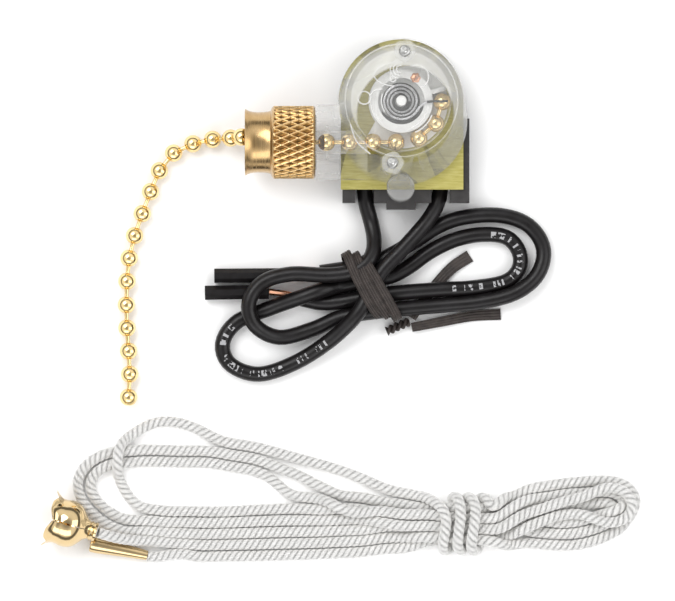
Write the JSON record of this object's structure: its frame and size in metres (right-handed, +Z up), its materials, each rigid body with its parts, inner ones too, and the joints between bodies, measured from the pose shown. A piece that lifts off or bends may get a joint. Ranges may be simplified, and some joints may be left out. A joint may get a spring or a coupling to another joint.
{
  "type": "pull chain switch",
  "caption": "Single-pole pull chain switch with clear cover, knurled flared nut, ball chain and two tied leads, shown with its loose white pull cord and bell connector.",
  "frame": {"origin": "on the back face of the base, under the axis of the chain drum", "axes": "+Z up from the back face through the clear cover, -X along the chain as it leaves the nut, -Y towards the leads"},
  "size_m": [0.1093, 0.0951, 0.0158],
  "materials": {
    "black_phenolic": "satin",
    "vulcanised_fibre": "satin",
    "clear_plastic": "gloss",
    "pin_metal": "satin",
    "post_plastic": "gloss",
    "copper": "satin",
    "terminal_brass": "satin",
    "lead_insulation": "satin",
    "tie_paper": "matte",
    "drum_plastic": "satin",
    "spring_steel": "satin",
    "chain_brass": "gloss",
    "rotor_plastic": "satin",
    "nut_brass": "satin",
    "white_cord": "matte",
    "bell_brass": "gloss"
  },
  "bodies": {
    "switch_body": {"base_housing": "black_phenolic", "fibre_plate": "vulcanised_fibre", "clear_cover": "clear_plastic", "stake_pin_top": "pin_metal", "stake_pin_bottom": "pin_metal", "hub_post": "post_plastic", "contact_rivet": "copper", "terminal_left": "terminal_brass", "terminal_right": "terminal_brass", "contact_blade_left": "copper", "contact_blade_right": "copper", "lead_left": "lead_insulation", "lead_right": "lead_insulation", "lead_left_core": "copper", "lead_right_core": "copper", "lead_left_slug": "lead_insulation", "lead_right_slug": "lead_insulation", "tie_wraps": "tie_paper", "tie_twist": "tie_paper", "tie_tail_upper": "tie_paper", "tie_tail_lower": "tie_paper"},
    "drum": {"chain_drum": "drum_plastic", "drive_pawl": "spring_steel", "drum_balls": "chain_brass", "drum_links": "chain_brass", "return_spring": "spring_steel"},
    "rotor": {"contact_rotor": "rotor_plastic", "ratchet_wheel": "spring_steel", "moving_contact": "copper"},
    "nut": {"flared_nut": "nut_brass"},
    "pull_chain": {"stem_balls": "chain_brass", "stem_links": "chain_brass", "pull_balls": "chain_brass", "pull_links": "chain_brass"},
    "cord_set": {"cord_hank_left": "white_cord", "cord_wrap": "white_cord", "cord_hank_right": "white_cord", "cord_tail_bell": "white_cord", "cord_tail_ferrule": "white_cord", "bell_half_front": "bell_brass", "bell_half_back": "bell_brass", "bell_collar": "bell_brass", "bell_knot": "white_cord", "cord_ferrule": "bell_brass"}
  },
  "joints": [
    {"name": "chain_pull", "type": "slide", "parent": "switch_body", "child": "pull_chain", "axis": [-1, 0, 0], "range_m": [0, 0.0062], "stiffness_N_per_m": 300},
    {"name": "drum_turn", "type": "hinge", "parent": "switch_body", "child": "drum", "pos_m": [0, 0, 0.009], "axis": [0, 0, -1], "range_deg": [0, 48]},
    {"name": "rotor_index", "type": "hinge", "parent": "switch_body", "child": "rotor", "pos_m": [0, 0, 0.0034], "axis": [0, 0, -1], "continuous": true},
    {"name": "nut_spin", "type": "hinge", "parent": "switch_body", "child": "nut", "pos_m": [-0.02, -0.0074, 0.009], "axis": [-1, 0, 0], "continuous": true},
    {"name": "cord_set_lift", "type": "slide", "parent": "switch_body", "child": "cord_set", "axis": [0, 0, 1], "range_m": [0, 0.04]}
  ],
  "couplings": [
    {"joint": "drum_turn", "follows": "chain_pull", "rad_per_m": 135.14}
  ]
}
